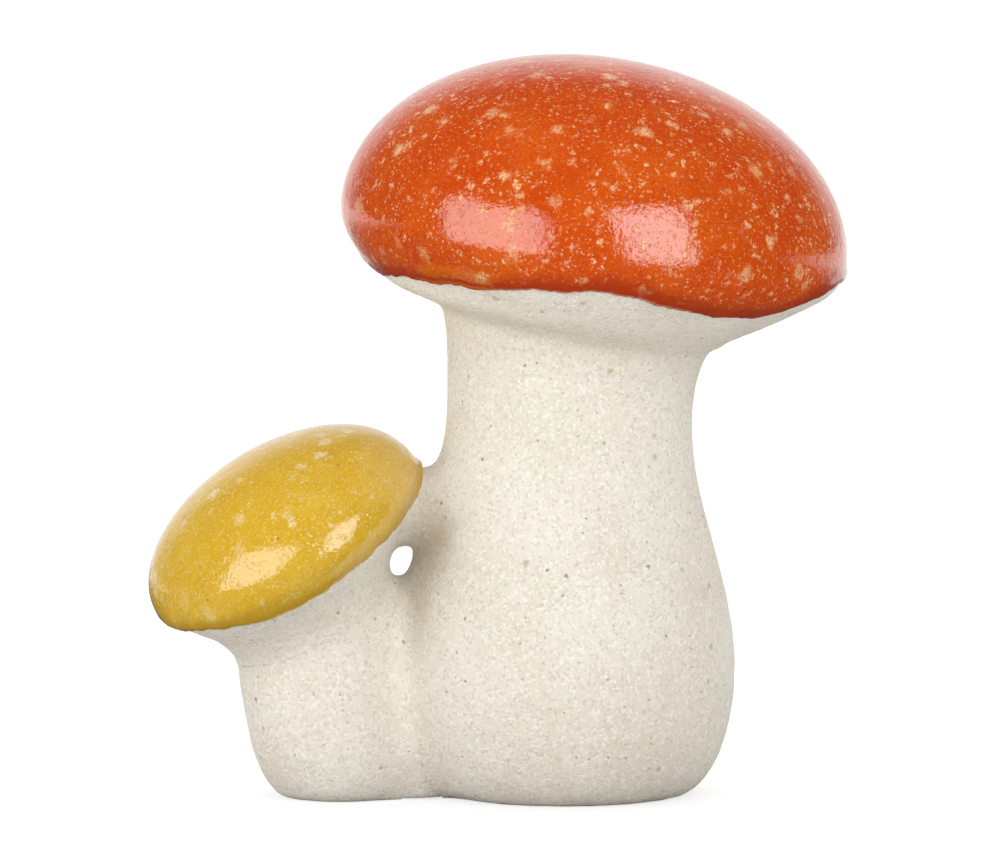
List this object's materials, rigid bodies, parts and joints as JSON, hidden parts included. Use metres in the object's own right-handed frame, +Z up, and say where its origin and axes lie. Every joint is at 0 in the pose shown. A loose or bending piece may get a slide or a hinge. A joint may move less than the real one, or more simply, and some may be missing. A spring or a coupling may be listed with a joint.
{
  "type": "mushroom ornament",
  "caption": "Ceramic ornament of a large and a small stoneware mushroom, joined at the stems, with an orange and a mustard glaze on the domed caps and a bare ivory body.",
  "frame": {"origin": "centre of the bounding box's bottom, on the plane that the feet stand on", "axes": "+Z up, +X to the right seen from the front, where the small mushroom is on the left, +Y to the back"},
  "size_m": [0.1596, 0.1165, 0.1699],
  "materials": {
    "bisque": "matte",
    "orange_glaze": "gloss",
    "mustard_glaze": "gloss"
  },
  "bodies": {
    "root": {"large_stem": "bisque", "large_cap": "bisque", "large_cap_glaze": "orange_glaze", "large_neck_slip": "bisque", "small_stem": "bisque", "small_cap": "bisque", "small_cap_glaze": "mustard_glaze", "small_neck_slip": "bisque", "stem_joint_slip": "bisque", "cap_joint_slip": "bisque"}
  },
  "joints": []
}
